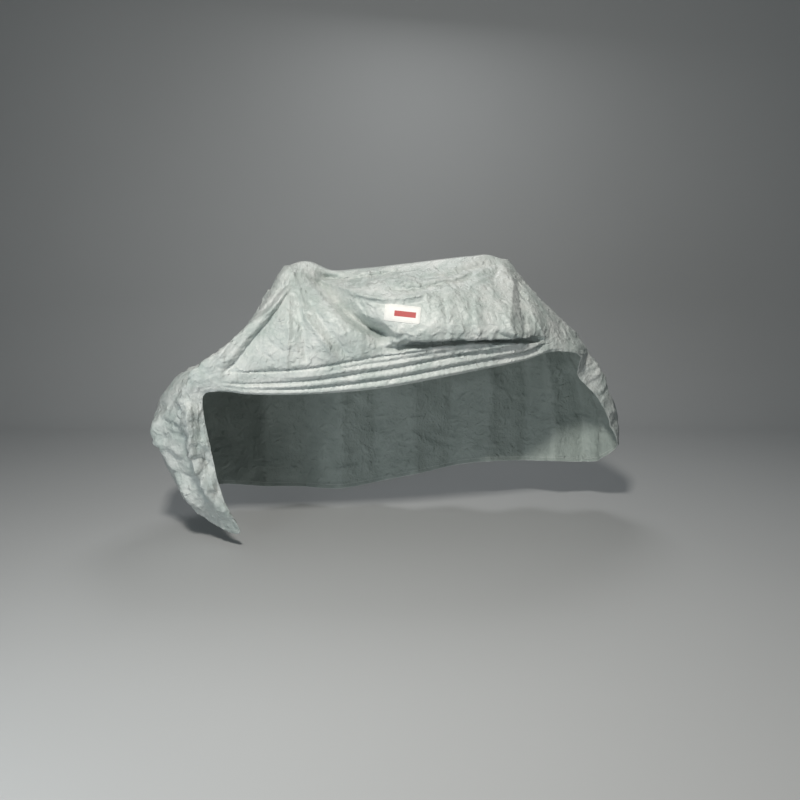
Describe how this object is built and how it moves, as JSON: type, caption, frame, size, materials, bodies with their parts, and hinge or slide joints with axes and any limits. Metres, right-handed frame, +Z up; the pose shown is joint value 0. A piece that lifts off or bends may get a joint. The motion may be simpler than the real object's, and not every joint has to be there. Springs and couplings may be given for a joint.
{
  "type": "bicycle cover",
  "caption": "Long grey cloth cover drawn over a load that is left out, peaked at one end, gathered along one hem and hanging at the other, with a blank patch.",
  "frame": {"origin": "underside of the cover's ridge at its middle, where the load holds it up", "axes": "+X along the cover, towards its lower right end as the picture shows it; +Y away from the side that bears the patch; +Z up"},
  "size_m": [1.8146, 0.7296, 1.002],
  "materials": {
    "cover_cloth": "coated plain weave, slight sheen",
    "label_cloth": "smooth woven patch, matte"
  },
  "bodies": {
    "root": {"cover": "cover_cloth", "label_patch": "label_cloth"}
  },
  "joints": []
}
